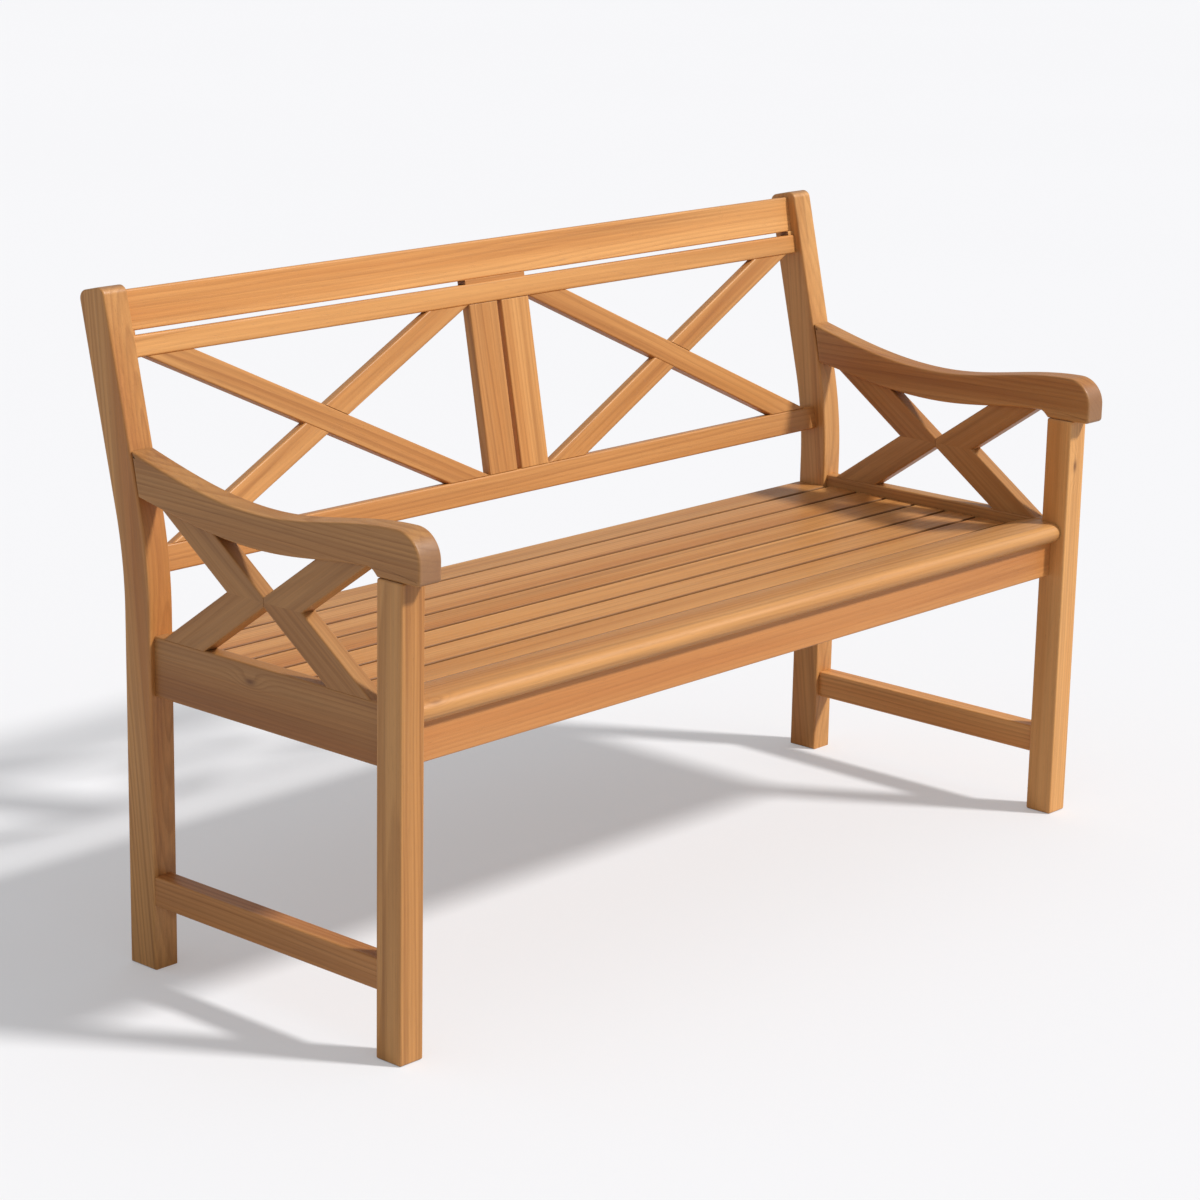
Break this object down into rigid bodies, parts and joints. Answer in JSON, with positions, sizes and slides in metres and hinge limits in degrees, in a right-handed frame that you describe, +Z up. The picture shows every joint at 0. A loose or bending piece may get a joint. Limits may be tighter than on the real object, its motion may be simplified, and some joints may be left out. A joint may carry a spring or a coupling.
{
  "type": "garden bench",
  "caption": "Slatted hardwood garden bench with crossed bars in the leaning back, swept arms, arrow-shaped arm braces and low side stretchers.",
  "frame": {"origin": "on the ground, under the middle of the bench's overall box", "axes": "+X along the bench to the right as seen from the front, +Y to the back, +Z up"},
  "size_m": [1.44, 0.6232, 0.906],
  "materials": {
    "timber": "oiled, semi-gloss",
    "dowels": "plain",
    "screws": "satin"
  },
  "bodies": {
    "root": {"left_front_leg": "timber", "right_front_leg": "timber", "left_back_post": "timber", "right_back_post": "timber", "left_arm": "timber", "right_arm": "timber", "left_side_rail": "timber", "right_side_rail": "timber", "left_stretcher": "timber", "right_stretcher": "timber", "front_rail": "timber", "back_seat_rail": "timber", "middle_bearer": "timber", "left_cleat": "timber", "right_cleat": "timber", "seat_slat_1": "timber", "seat_slat_2": "timber", "seat_slat_3": "timber", "seat_slat_4": "timber", "seat_slat_5": "timber", "seat_slat_6": "timber", "seat_slat_7": "timber", "seat_slat_8": "timber", "top_rail": "timber", "upper_rail": "timber", "lower_rail": "timber", "left_stile": "timber", "right_stile": "timber", "left_falling_bar": "timber", "left_rising_bar": "timber", "right_falling_bar": "timber", "right_rising_bar": "timber", "middle_spacer": "timber", "left_spacer": "timber", "right_spacer": "timber", "left_brace_front_top": "timber", "left_brace_front_low": "timber", "left_brace_back_top": "timber", "left_brace_back_low": "timber", "right_brace_front_top": "timber", "right_brace_front_low": "timber", "right_brace_back_top": "timber", "right_brace_back_low": "timber", "slat_screws": "screws", "cleat_screws": "screws", "slat_dowels": "dowels", "brace_dowels": "dowels", "panel_dowels": "dowels"}
  },
  "joints": []
}
